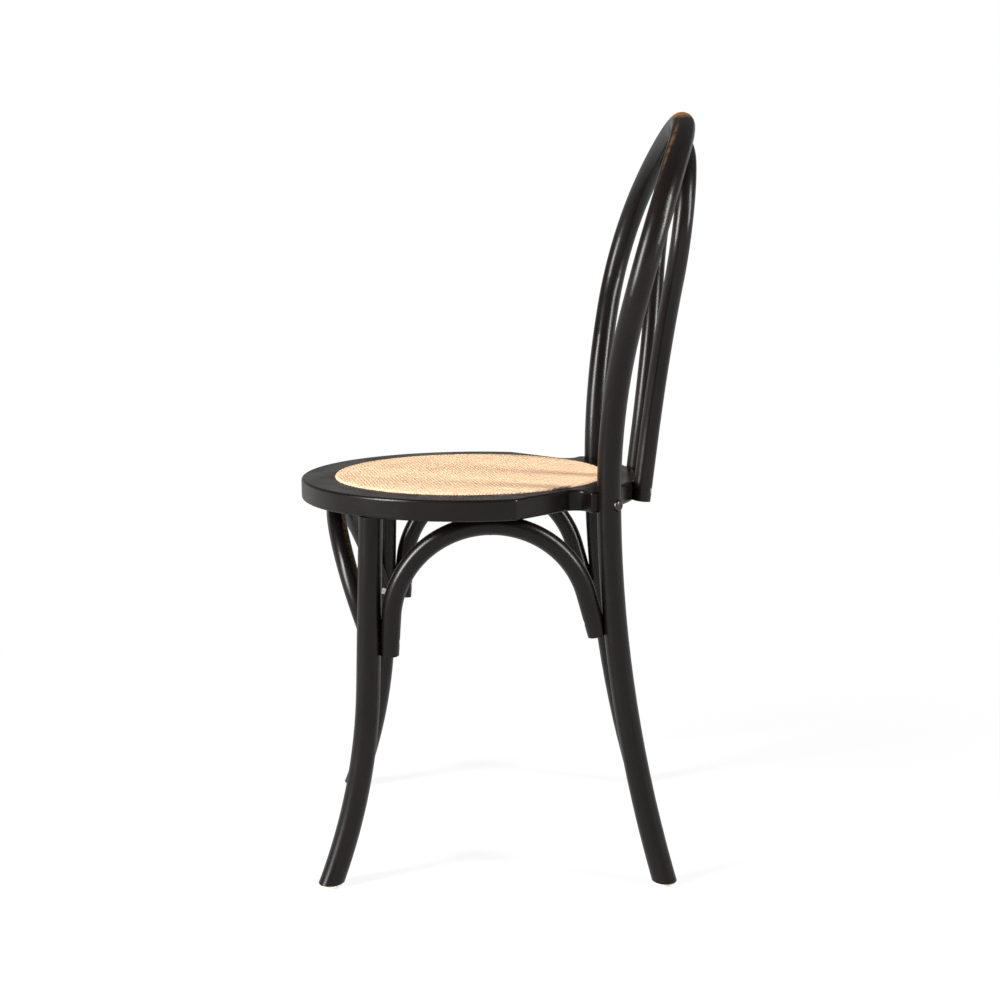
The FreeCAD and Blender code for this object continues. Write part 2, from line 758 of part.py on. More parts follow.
def make_mat():
    body = new_body("cane_mat", Placement(Vector(0, seat_y, ledge_top), Rotation()))
    disc = circle_sketch(body, "mat_outline", DERIVED["mat_radius"])
    pad(body, "mat_disc", disc, "board_thickness + mat_thickness")
    inside = circle_sketch(body, "mat_inside", DERIVED["board_radius"])
    pocket(body, "mat_hollow", inside, "board_thickness", up=True)
    top = size("board_thickness") + size("mat_thickness")
    round_edges(body, "mat_rounding", lambda edge: at_height(edge, top), "mat_edge_rounding")
    return body


board_blank = make_board()
mat = make_mat()

# Wood screws: a slotted countersunk head, a plain shank and a short point. The hole that each one
# sits in has the same profile, and opens above the head. Each screw stops with its slot another way.
SCREW_OPENING = 12.0
SCREW_TURN = 37.0


def screw_profile(length, opening):
    outline = [
        ("0", "-%s" % length),
        ("screw_diameter / 2", "-%s + screw_point_length" % length),
        ("screw_diameter / 2", "-screw_head_height"),
        ("screw_head_diameter / 2", "0"),
    ]
    if opening:
        outline.append(("screw_head_diameter / 2", "%g" % SCREW_OPENING))
    outline.append(("0", "%g" % SCREW_OPENING if opening else "0"))
    return outline


def cut_slot(body, name):
    """Straight slot across the whole head."""
    sketch = new_sketch(body, name + "_slot_outline", "XY_Plane")
    half_x = size("screw_head_diameter")
    half_y = size("screw_slot_width") / 2
    corners = [Vector(-half_x, -half_y, 0), Vector(half_x, -half_y, 0),
               Vector(half_x, half_y, 0), Vector(-half_x, half_y, 0)]
    for i in range(4):
        sketch.addGeometry(Part.LineSegment(corners[i], corners[(i + 1) % 4]))
    for i in range(4):
        sketch.addConstraint(Sketcher.Constraint("Coincident", i, 2, (i + 1) % 4, 1))
        sketch.addConstraint(Sketcher.Constraint("Vertical" if i % 2 else "Horizontal", i))
    sketch.addConstraint(Sketcher.Constraint("Symmetric", 0, 1, 2, 1, -1, 1))
    drive(sketch, Sketcher.Constraint("DistanceX", 0, 1, 0, 2, 2 * half_x), "2 * screw_head_diameter")
    drive(sketch, Sketcher.Constraint("DistanceY", 1, 1, 1, 2, 2 * half_y), "screw_slot_width")
    pocket(body, name + "_slot", sketch, "screw_slot_depth")


def screws(name, length, seats):
    """Group of equal screws, and the holes for them: each seat is a surface point and the way out."""
    sunk = size("screw_sink")
    placements = [facing(point - out * sunk, out, SCREW_TURN * number)
                  for number, (point, out) in enumerate(seats, start=1)]
    screw = lathe(name + "_screw", screw_profile(length, False))
    cut_slot(screw, name)
    hole = lathe(name + "_hole", screw_profile(length, True))
    return copies(name, screw, placements), copies(name + "_holes", hole, placements)


def both_sides(seats):
    return seats + [(Vector(-point.x, point.y, point.z), Vector(-out.x, out.y, out.z))
                    for point, out in seats]


inward = Vector(-1, 0, 0)
back = Vector(0, 1, 0)
down = Vector(0, 0, -1)
brace_end_seats = both_sides([
    (side_brace.screw_points[0] + back * brace_r, back),
    (side_brace.screw_points[1] - back * brace_r, -back),
    (front_brace.screw_points[1] + inward * brace_r, inward),
])
brace_crown_seats = both_sides([(side_brace.crown + down * brace_r, down)])
brace_crown_seats.append((front_brace.crown + down * brace_r, down))

loop_foot = in_loop(1, size("loop_foot_half"), 0)
loop_out = Vector(loop_foot.x, loop_foot.y - seat_y, 0).normalize()
loop_foot_seats = both_sides([(loop_foot + loop_out * loop_r, loop_out)])
loop_crown = in_loop(1, 0, loop_rise)
loop_crown_seats = [(loop_crown + down * loop_r, down)]

panel_seats = []
for quarter in (size("panel_screw_angle"), -size("panel_screw_angle")):
    angle = math.radians(quarter)
    circle_r = size("panel_screw_circle")
    point = place(circle_r * math.cos(angle), circle_r * math.sin(angle), ring_bottom)
    panel_seats += both_sides([(point, down)])

brace_end_screws, brace_end_holes = screws("brace_end_screws", "brace_screw_length", brace_end_seats)
brace_top_screws, brace_top_holes = screws("brace_top_screws", "brace_screw_length", brace_crown_seats)
loop_seat_screws, loop_seat_holes = screws("loop_seat_screws", "loop_screw_length", loop_foot_seats)
loop_crown_screw, loop_crown_hole = screws("loop_crown_screw", "crown_screw_length", loop_crown_seats)
panel_screws, panel_holes = screws("panel_screws", "panel_screw_length", panel_seats)

# Bolts through the rear legs: a domed head in a flat seat outside, a washer and nut inside the ring
bolt_rod = hoop_side_axis(ledge_middle)[0]
bolt_reach = math.hypot(bolt_rod.x, bolt_rod.y - seat_y)
bolt_out = Vector(bolt_rod.x, bolt_rod.y - seat_y, 0).normalize()
bolt_side = Vector(-bolt_out.x, bolt_out.y, 0)
head_seat_r = bolt_reach + hoop_r - size("bolt_seat_depth")
washer_seat_r = size("ledge_radius") + size("washer_seat_depth")
nut_seat_r = washer_seat_r - size("washer_thickness")
bolt_length = head_seat_r - nut_seat_r + size("nut_height") + size("bolt_overhang")
BOLT_WAYS = (bolt_out, bolt_side)


def on_bolt(radius, out):
    return place(0, 0, ledge_middle) + out * radius


def make_bolts():
    body = lathe("bolt", [
        ("0", "%r" % -bolt_length),
        ("bolt_diameter / 2", "%r" % -bolt_length),
        ("bolt_diameter / 2", "0"),
        ("bolt_head_diameter / 2", "0"),
        ("bolt_head_diameter / 2", "bolt_head_height"),
        ("0", "bolt_head_height"),
    ])
    top = size("bolt_head_height")
    round_edges(body, "bolt_dome", lambda edge: at_height(edge, top), "bolt_head_rounding")
    return copies("hoop_bolts", body, [facing(on_bolt(head_seat_r, out), out) for out in BOLT_WAYS])


def make_washers():
    body = new_body("washer")
    pad(body, "washer_disc", circle_sketch(body, "washer_edge", "washer_diameter / 2"), "washer_thickness")
    bore = circle_sketch(body, "washer_bore", "bolt_diameter / 2 + hole_gap")
    pocket(body, "washer_hole", bore, "washer_thickness", up=True)
    return copies("hoop_bolt_washers", body, [facing(on_bolt(nut_seat_r, out), out) for out in BOLT_WAYS])


def make_nuts():
    body = new_body("nut")
    sketch = new_sketch(body, "nut_hexagon", "XY_Plane")
    corner_r = size("nut_width") / math.sqrt(3)
    corners = [Vector(corner_r * math.cos(math.radians(60 * i)), corner_r * math.sin(math.radians(60 * i)), 0)
               for i in range(6)]
    for i in range(6):
        sketch.addGeometry(Part.LineSegment(corners[i], corners[(i + 1) % 6]))
    pad(body, "nut_block", sketch, "nut_height")
    bore = circle_sketch(body, "nut_bore", "bolt_diameter / 2")
    pocket(body, "nut_hole", bore, "nut_height", up=True)
    nut_r = nut_seat_r - size("nut_height")
    return copies("hoop_bolt_nuts", body, [facing(on_bolt(nut_r, out), out) for out in BOLT_WAYS])


def make_bolt_holes():
    """Bore through rod and ring, with a flat seat for the head outside and the washer inside."""
    pieces = []
    for number, out in enumerate(BOLT_WAYS, start=1):
        bore = "bolt_diameter / 2 + hole_gap"
        run = "%r" % (head_seat_r - nut_seat_r)
        pieces.append(cylinder("bolt_bore_%d" % number, bore, run, on_bolt(nut_seat_r, out), out))
        pieces.append(cylinder("head_seat_%d" % number, "bolt_head_diameter / 2 + seat_gap", "hoop_diameter / 2",
                               on_bolt(head_seat_r, out), out))
        pieces.append(cylinder("washer_seat_%d" % number, "washer_diameter / 2 + seat_gap", "hoop_diameter / 2",
                               on_bolt(washer_seat_r, out), -out))
    return joined("bolt_holes", pieces)


hoop_bolts = make_bolts()
hoop_bolt_washers = make_washers()
hoop_bolt_nuts = make_nuts()
bolt_holes = make_bolt_holes()

# Feet: a glide under each leg, held by a nail whose head lies in a recess
hoop_foot = hoop_side_axis(glide_top)[0]
leg_foot = leg_axis(glide_top)
FEET = {
    "glide_front_left": leg_foot,
    "glide_front_right": Vector(-leg_foot.x, leg_foot.y, 0),
    "glide_rear_left": hoop_foot,
    "glide_rear_right": Vector(-hoop_foot.x, hoop_foot.y, 0),
}


def make_glide(name, foot):
    body = new_body(name, Placement(Vector(foot.x, foot.y, 0), Rotation()))
    disc = circle_sketch(body, name + "_edge", "glide_diameter / 2")
    pad(body, name + "_disc", disc, "glide_height")
    round_edges(body, name + "_rounding", lambda edge: at_height(edge, 0), "glide_rounding")
    recess = circle_sketch(body, name + "_recess_edge", "nail_head_diameter / 2")
    pocket(body, name + "_recess", recess, "nail_head_depth", up=True)
    bore = circle_sketch(body, name + "_bore_edge", "nail_diameter / 2")
    pocket(body, name + "_bore", bore, "glide_height", up=True)
    return body


glides = [make_glide(name, foot) for name, foot in FEET.items()]
nail = lathe("nail", [
    ("0", "nail_head_depth - nail_head_height"),
    ("nail_head_diameter / 2", "nail_head_depth - nail_head_height"),
    ("nail_head_diameter / 2", "nail_head_depth"),
    ("nail_diameter / 2", "nail_head_depth"),
    ("nail_diameter / 2", "nail_head_depth + nail_length - nail_diameter"),
    ("0", "nail_head_depth + nail_length"),
])
glide_nails = copies("glide_nails", nail, [Placement(Vector(foot.x, foot.y, 0), Rotation())
                                           for foot in FEET.values()])

# The wooden pieces, cut to fit each other and their fasteners
back_hoop = cut("back_hoop", hoop_sawn, bolt_holes, brace_end_holes, loop_crown_hole, glide_nails)
front_leg_left = cut("front_leg_left", leg_sawn, brace_end_holes, glide_nails)
front_leg_right = mirrored("front_leg_right", front_leg_left)
leg_right_blank = mirrored("leg_right_blank", leg_blank)
seat_ring = cut("seat_ring", ring_blank, hoop_rod, leg_blank, leg_right_blank, bolt_holes,
                brace_top_holes, loop_seat_holes, panel_holes)
inner_back_loop = cut("inner_back_loop", loop_rod, ring_blank, hoop_rod, loop_seat_holes, loop_crown_hole)
seat_board = cut("seat_board", board_blank, panel_holes)
side_brace_left = cut("side_brace_left", side_brace_rod, leg_blank, hoop_rod, ring_blank,
                      brace_end_holes, brace_top_holes)
side_brace_right = mirrored("side_brace_right", side_brace_left)
front_brace_piece = cut("front_brace", front_brace_rod, leg_blank, leg_right_blank, ring_blank,
                        brace_end_holes, brace_top_holes)

NODES = {
    "back_hoop": back_hoop,
    "inner_back_loop": inner_back_loop,
    "front_leg_left": front_leg_left,
    "front_leg_right": front_leg_right,
    "seat_ring": seat_ring,
    "seat_board": seat_board,
    "cane_mat": mat,
    "side_brace_left": side_brace_left,
    "side_brace_right": side_brace_right,
    "front_brace": front_brace_piece,
    "hoop_bolts": hoop_bolts,
    "hoop_bolt_washers": hoop_bolt_washers,
    "hoop_bolt_nuts": hoop_bolt_nuts,
    "brace_end_screws": brace_end_screws,
    "brace_top_screws": brace_top_screws,
    "loop_seat_screws": loop_seat_screws,
    "loop_crown_screw": loop_crown_screw,
    "panel_screws": panel_screws,
    "glide_nails": glide_nails,
}
for glide in glides:
    NODES[glide.Name] = glide

doc.recompute()
for item in doc.Objects:
    if "Invalid" in item.State or "Error" in item.State:
        raise RuntimeError("%s failed: %s" % (item.Name, item.State))
for name, piece in NODES.items():
    if piece.Shape.isNull() or not piece.Shape.isValid():
        raise RuntimeError(name + " has no valid shape")
    if not piece.Shape.Solids:
        raise RuntimeError(name + " has no solid")

os.makedirs("parts", exist_ok=True)
for name, piece in NODES.items():
    piece.Label = name
    piece.Shape.exportStep(os.path.join("parts", name + ".step"))
    box = piece.Shape.BoundBox
    print("%-20s solids %2d  volume %9.0f  z %6.1f to %6.1f"
          % (name, len(piece.Shape.Solids), piece.Shape.Volume, box.ZMin, box.ZMax))
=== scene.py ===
import json
import math
import random

import bpy
from mathutils import Matrix, Vector


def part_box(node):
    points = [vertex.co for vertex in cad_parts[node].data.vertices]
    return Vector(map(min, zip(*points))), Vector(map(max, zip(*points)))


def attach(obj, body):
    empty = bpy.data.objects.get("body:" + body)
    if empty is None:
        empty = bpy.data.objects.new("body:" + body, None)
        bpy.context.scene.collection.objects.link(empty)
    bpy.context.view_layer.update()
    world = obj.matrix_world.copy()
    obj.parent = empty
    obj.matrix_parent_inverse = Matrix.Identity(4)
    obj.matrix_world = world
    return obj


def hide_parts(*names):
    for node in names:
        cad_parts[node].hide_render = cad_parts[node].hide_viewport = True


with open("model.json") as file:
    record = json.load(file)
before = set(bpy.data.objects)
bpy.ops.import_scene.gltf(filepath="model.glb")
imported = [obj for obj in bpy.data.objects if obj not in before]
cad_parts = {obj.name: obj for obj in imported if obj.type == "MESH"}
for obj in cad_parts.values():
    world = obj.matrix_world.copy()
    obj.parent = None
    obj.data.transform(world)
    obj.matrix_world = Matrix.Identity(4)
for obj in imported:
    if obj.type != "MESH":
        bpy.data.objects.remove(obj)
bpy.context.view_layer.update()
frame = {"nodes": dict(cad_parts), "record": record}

# Bentwood bistro chair, in metres: +Z up, the chair faces -Y, the sitter's left is +X


# Camera, at the photograph's place: level with the back's upper part, on the sitter's left
CAMERA_AT = Vector((2.2, -0.00065, 0.781))
CAMERA_PITCH = 0.1617
CAMERA_YAW = 0.0025
CAMERA_ROLL = -0.0074
SENSOR_WIDTH = 36.0
LENS = 65.42
FARTHEST_SEEN = 60.0


def make_camera():
    forward = Vector((-math.cos(CAMERA_PITCH) * math.cos(CAMERA_YAW),
                      math.cos(CAMERA_PITCH) * math.sin(CAMERA_YAW), -math.sin(CAMERA_PITCH)))
    level = Vector((math.sin(CAMERA_YAW), math.cos(CAMERA_YAW), 0.0))
    below = Vector((math.sin(CAMERA_PITCH) * math.cos(CAMERA_YAW),
                    -math.sin(CAMERA_PITCH) * math.sin(CAMERA_YAW), -math.cos(CAMERA_PITCH)))
    right = level * math.cos(CAMERA_ROLL) - below * math.sin(CAMERA_ROLL)
    up = -(level * math.sin(CAMERA_ROLL) + below * math.cos(CAMERA_ROLL))
    turn = Matrix((right, up, -forward)).transposed()
    data = bpy.data.cameras.new("camera")
    data.sensor_width = SENSOR_WIDTH
    data.lens = LENS
    data.clip_end = FARTHEST_SEEN
    camera = bpy.data.objects.new("camera", data)
    camera.matrix_world = Matrix.Translation(CAMERA_AT) @ turn.to_4x4()
    bpy.context.collection.objects.link(camera)
    bpy.context.scene.camera = camera


make_camera()


# Node helpers
def new_tree(name):
    material = bpy.data.materials.new(name)
    material.use_nodes = True
    material.node_tree.nodes.clear()
    return material, material.node_tree


def join(tree, value, socket):
    """Link a socket, or set a plain value."""
    if isinstance(value, bpy.types.NodeSocket):
        tree.links.new(value, socket)
    else:
        socket.default_value = value


def add(tree, kind, inputs, **settings):
    made = tree.nodes.new("ShaderNode" + kind)
    for name, value in settings.items():
        setattr(made, name, value)
    for name, value in inputs.items():
        join(tree, value, made.inputs[name])
    return made


def maths(tree, operation, *values):
    made = tree.nodes.new("ShaderNodeMath")
    made.operation = operation
    for number, value in enumerate(values):
        join(tree, value, made.inputs[number])
    return made.outputs[0]


def ramp(tree, value, low, high, start=0.0, end=1.0):
    """Smooth step of a value between two limits."""
    made = add(tree, "MapRange", {"Value": value, "From Min": low, "From Max": high,
                                  "To Min": start, "To Max": end})
    made.interpolation_type = "SMOOTHSTEP"
    return made.outputs["Result"]


def blend(tree, share, first, second):
    """Mix two colours."""
    made = tree.nodes.new("ShaderNodeMix")
    made.data_type = "RGBA"
    join(tree, share, made.inputs[0])
    join(tree, first, made.inputs[6])
    join(tree, second, made.inputs[7])
    return made.outputs[2]


def place_in_object(tree):
    return add(tree, "TexCoord", {}).outputs["Object"]


def noise(tree, where, scale, detail=3.0, roughness=0.5):
    made = add(tree, "TexNoise", {"Vector": where, "Scale": scale, "Detail": detail,
                                  "Roughness": roughness})
    return made.outputs["Fac"]


def stretched(tree, where, scales):
    """A place with each of its directions scaled, for grain that runs one way."""
    return add(tree, "VectorMath", {0: where, 1: scales}, operation="MULTIPLY").outputs[0]


def bump(tree, height, strength, distance):
    made = add(tree, "Bump", {"Height": height, "Strength": strength, "Distance": distance})
    return made.outputs["Normal"]


def surface(tree, inputs):
    shader = add(tree, "BsdfPrincipled", inputs)
    add(tree, "OutputMaterial", {"Surface": shader.outputs[0]})


def colour(red, green, blue):
    return (red, green, blue, 1.0)


# Materials
LACQUER = colour(0.0040, 0.0028, 0.0025)
LACQUER_THIN = colour(0.0070, 0.0045, 0.0036)
BARE_WOOD = colour(0.200, 0.088, 0.028)
LACQUER_ROUGHNESS = (0.24, 0.31)
WORN_ROUGHNESS = 0.15
GLOSS_ANGLES = (0.45, 0.90)
GLOSS_LEVELS = (0.20, 0.01)
LACQUER_GRAIN = (1.0, 1.0, 0.12)
LACQUER_RELIEF = 0.016
CROWN_WEAR_HEIGHTS = (0.8790, 0.8862)
CROWN_WEAR_RAGGED = 0.006
WEAR_LINE_TURN = 0.32
WEAR_LINE_EDGES = (0.03, 0.13)
WEAR_LINE_FRONT = (0.2, 0.6)
WEAR_LINE_SIDE = (0.005, 0.03)
WEAR_LINE_HEIGHTS = (0.785, 0.870)
WEAR_LINE_SHARE = 0.60


def crown_wear(tree, where):
    """Share of bare wood: a cap on top of the hoop's crown, and a broken line down its front."""
    normal = add(tree, "SeparateXYZ", {0: add(tree, "NewGeometry", {}).outputs["Normal"]})
    place = add(tree, "SeparateXYZ", {0: where})
    height = place.outputs["Z"]
    ragged = maths(tree, "MULTIPLY", noise(tree, where, 160.0, 4.0), CROWN_WEAR_RAGGED)
    cap = ramp(tree, maths(tree, "ADD", height, ragged), *CROWN_WEAR_HEIGHTS)
    aside = maths(tree, "ABSOLUTE", maths(tree, "SUBTRACT", normal.outputs["X"], WEAR_LINE_TURN))
    middle = ramp(tree, aside, *WEAR_LINE_EDGES, 1.0, 0.0)
    front = ramp(tree, maths(tree, "MULTIPLY", normal.outputs["Y"], -1.0), *WEAR_LINE_FRONT)
    near = ramp(tree, place.outputs["X"], *WEAR_LINE_SIDE)
    high = ramp(tree, height, *WEAR_LINE_HEIGHTS)
    broken = ramp(tree, noise(tree, where, 90.0, 4.0), 0.35, 0.60, 0.15, 1.0)
    across = maths(tree, "MULTIPLY", middle, front)
    along = maths(tree, "MULTIPLY", high, near)
    line = maths(tree, "MULTIPLY", across, along)
    line = maths(tree, "MULTIPLY", maths(tree, "MULTIPLY", line, broken), WEAR_LINE_SHARE)
    return maths(tree, "MAXIMUM", cap, line)


def make_lacquer(name, worn):
    """Black satin lacquer over bent wood; the worn one is rubbed through to brown at the hoop's crown."""
    material, tree = new_tree(name)
    where = place_in_object(tree)
    cloud = noise(tree, where, 9.0)
    base = blend(tree, ramp(tree, cloud, 0.45, 0.75), LACQUER, LACQUER_THIN)
    roughness = ramp(tree, noise(tree, where, 24.0, 4.0), 0.3, 0.7, *LACQUER_ROUGHNESS)
    if worn:
        wear = crown_wear(tree, where)
        base = blend(tree, wear, base, BARE_WOOD)
        roughness = maths(tree, "ADD", roughness, maths(tree, "MULTIPLY", wear, WORN_ROUGHNESS))
    facing = add(tree, "LayerWeight", {"Blend": 0.5}).outputs["Facing"]
    gloss = ramp(tree, facing, *GLOSS_ANGLES, *GLOSS_LEVELS)
    peel = noise(tree, where, 320.0, 2.0)
    grain = noise(tree, stretched(tree, where, LACQUER_GRAIN), 700.0, 2.0)
    relief = maths(tree, "ADD", maths(tree, "MULTIPLY", peel, 0.6), maths(tree, "MULTIPLY", grain, 0.4))
    surface(tree, {"Base Color": base, "Roughness": roughness, "Specular IOR Level": gloss,
                   "Normal": bump(tree, relief, LACQUER_RELIEF, 0.0003)})
    return material


CANE_LIGHT = colour(0.78, 0.585, 0.39)
CANE_DARK = colour(0.42, 0.25, 0.13)
CANE_RED = colour(0.60, 0.395, 0.245)
FIBRE_SCALES = (90.0, 2600.0, 7.0)
PATCH_SCALES = (150.0, 60.0, 9.0)
SPECK_SCALES = (300.0, 300.0, 11.0)


def make_cane():
    """Natural rattan: each strand has its own tone and fine fibres along it."""
    material, tree = new_tree("woven_cane")
    tone = add(tree, "Attribute", {}, attribute_name="strand_tone").outputs["Fac"]
    along = add(tree, "Attribute", {}, attribute_name="strand_place").outputs["Vector"]
    fibre = noise(tree, stretched(tree, along, FIBRE_SCALES), 1.0, 3.0)
    patch = noise(tree, stretched(tree, along, PATCH_SCALES), 1.0, 3.0)
    speck = noise(tree, stretched(tree, along, SPECK_SCALES), 1.0, 2.0)
    base = blend(tree, ramp(tree, tone, 0.0, 1.0), CANE_LIGHT, CANE_RED)
    base = blend(tree, ramp(tree, patch, 0.40, 0.62, 0.0, 0.85), base, CANE_RED)
    base = blend(tree, ramp(tree, speck, 0.55, 0.68, 0.0, 0.80), base, CANE_DARK)
    base = blend(tree, ramp(tree, fibre, 0.45, 0.85, 0.0, 0.45), base, CANE_DARK)
    surface(tree, {"Base Color": base, "Roughness": ramp(tree, fibre, 0.3, 0.7, 0.42, 0.60),
                   "Specular IOR Level": 0.4, "Normal": bump(tree, fibre, 0.25, 0.0002)})
    return material


# Painted shade: dark colours for a sheet behind the weave, standing in for shade in the gaps between
# strands
GAP_SHADE_DARK = colour(0.12, 0.065, 0.03)
GAP_SHADE_BROWN = colour(0.22, 0.13, 0.065)


def make_gap_shade_sheet():
    """Painted shade: a dark sheet behind the weave, so the gaps between strands look shaded; seen only
    through those gaps.
    """
    material, tree = new_tree("cane_gap_shade")
    where = place_in_object(tree)
    base = blend(tree, noise(tree, where, 120.0), GAP_SHADE_DARK, GAP_SHADE_BROWN)
    surface(tree, {"Base Color": base, "Roughness": 0.8})
    return material


PLY_PALE = colour(0.62, 0.42, 0.24)
PLY_BROWN = colour(0.44, 0.27, 0.13)
PLY_PORE = colour(0.27, 0.15, 0.07)
PLY_GRAIN_SCALES = (3.0, 55.0, 55.0)
PLY_PORE_SCALES = (25.0, 1400.0, 1400.0)


def make_plywood():
    """Pale plywood with long grain along X."""
    material, tree = new_tree("plywood")
    where = place_in_object(tree)
    grain = noise(tree, stretched(tree, where, PLY_GRAIN_SCALES), 1.0, 6.0, 0.6)
    pores = noise(tree, stretched(tree, where, PLY_PORE_SCALES), 1.0, 3.0)
    base = blend(tree, ramp(tree, grain, 0.3, 0.7), PLY_PALE, PLY_BROWN)
    base = blend(tree, ramp(tree, pores, 0.58, 0.75, 0.0, 0.5), base, PLY_PORE)
    surface(tree, {"Base Color": base, "Roughness": 0.62, "Normal": bump(tree, pores, 0.2, 0.0002)})
    return material


SCRATCH_SCALES = (2200.0, 160.0, 700.0)
STAIN_SHADE = 0.55


def make_steel(name, base_colour, low, high):
    """Plated steel with fine scratches."""
    material, tree = new_tree(name)
    where = place_in_object(tree)
    scratches = noise(tree, stretched(tree, where, SCRATCH_SCALES), 1.0, 3.0)
    stains = noise(tree, where, 420.0, 3.0)
    darker = colour(*[channel * STAIN_SHADE for channel in base_colour[:3]])
    base = blend(tree, ramp(tree, stains, 0.45, 0.75), base_colour, darker)
    roughness = ramp(tree, scratches, 0.3, 0.7, low, high)
    surface(tree, {"Base Color": base, "Metallic": 1.0, "Roughness": roughness,
                   "Normal": bump(tree, scratches, 0.12, 0.0001)})
    return material


NYLON_PALE = colour(0.74, 0.70, 0.62)
NYLON_DARKER = colour(0.30, 0.27, 0.23)
DARKER_BAND_HEIGHT = 0.0022


def make_nylon():
    """Pale moulded nylon, darker in speckles towards its bottom edge."""
    material, tree = new_tree("nylon")
    where = place_in_object(tree)
    height = add(tree, "SeparateXYZ", {0: where}).outputs["Z"]
    speckle = noise(tree, where, 500.0, 3.0)
    bottom_darkening = maths(tree, "MULTIPLY", ramp(tree, height, 0.0, DARKER_BAND_HEIGHT, 1.0, 0.0), speckle)
    base = blend(tree, bottom_darkening, NYLON_PALE, NYLON_DARKER)
    surface(tree, {"Base Color": base, "Roughness": 0.48, "Normal": bump(tree, speckle, 0.15, 0.0002)})
    return material


lacquer = make_lacquer("black_lacquer", worn=False)
worn_lacquer = make_lacquer("worn_black_lacquer", worn=True)
cane = make_cane()
gap_shade_sheet = make_gap_shade_sheet()
plywood = make_plywood()
plated_steel = make_steel("plated_steel", colour(0.55, 0.54, 0.52), 0.26, 0.45)
dark_steel = make_steel("dark_steel", colour(0.060, 0.055, 0.050), 0.24, 0.42)
nylon = make_nylon()

FINISHES = {
    "lacquered_wood": lacquer,
    "woven_cane": cane,
    "plywood": plywood,
    "steel": plated_steel,
    "nylon": nylon,
}
FINISH_OF_NODE = {
    "back_hoop": worn_lacquer,
    "hoop_bolts": dark_steel,
}

for part in frame["record"]["subparts"]:
    node = part["node"]
    finish = FINISH_OF_NODE.get(node, FINISHES[part["material_slot"]])
    for slot in frame["nodes"][node].material_slots:
        slot.material = finish


# Woven seat: flat strands in two directions, each over one and under one, wrapped down at the rim
mat_low, mat_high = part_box("cane_mat")
SEAT_MIDDLE = Vector(((mat_low[0] + mat_high[0]) / 2, (mat_low[1] + mat_high[1]) / 2, 0.0))
MAT_RADIUS = (mat_high[0] - mat_low[0]) / 2
MAT_TOP = mat_high[2]
STRAND_PITCH = 0.0030
STRAND_WIDTH = 0.0028
STRAND_THICKNESS = 0.0007
WAVE = 0.00026
WEAVE_ANGLE = math.radians(57.0)
RIM_BEND = 0.0020
RIM_DROP = 0.0022
WEAVE_SEED = 7
WIDTH_SPREAD = (0.86, 1.04)
SWAY = 0.00016
SWAY_TURN = 55.0
LEAST_STEPS = 4
STEPS_IN_CROSSING = 2
TONE_STEP = 0.37
SECOND_WAY_TONE = 50.0
HALF_STACK = WAVE + STRAND_THICKNESS / 2
FLAT_RADIUS = MAT_RADIUS - RIM_BEND - HALF_STACK
WEAVE_REACH = FLAT_RADIUS + RIM_BEND * math.pi / 2 + RIM_DROP
WEAVE_LEVEL = MAT_TOP - HALF_STACK
SECTION = ((-0.50, -0.5), (-0.30, 0.42), (0.0, 0.5), (0.30, 0.42), (0.50, -0.5))


def wrapped(flat, rise):
    """Point of the mat: flat inside, bent over the rim outside, and a rise off the mat's middle face."""
    radius = flat.length
    excess = radius - FLAT_RADIUS
    if excess <= 0:
        return SEAT_MIDDLE + Vector((flat.x, flat.y, WEAVE_LEVEL + rise))
    turn = min(excess / RIM_BEND, math.pi / 2)
    drop = max(excess - RIM_BEND * math.pi / 2, 0.0)
    out = FLAT_RADIUS + (RIM_BEND + rise) * math.sin(turn)
    level = WEAVE_LEVEL - RIM_BEND + (RIM_BEND + rise) * math.cos(turn) - drop
    return SEAT_MIDDLE + Vector((flat.x / radius * out, flat.y / radius * out, level))


def over(strand, crossing, first_way):
    """Whether a strand passes over at a crossing: one over, one under, one step on for each strand."""
    above = (strand + crossing) % 2 == 0
    return above if first_way else not above


def strand_rise(strand, place, first_way):
    """Height of a strand's middle at a place counted in crossings."""
    before = math.floor(place)
    share = place - before
    low = WAVE if over(strand, before, first_way) else -WAVE
    high = WAVE if over(strand, before + 1, first_way) else -WAVE
    eased = share * share * (3 - 2 * share)
    return low + (high - low) * eased


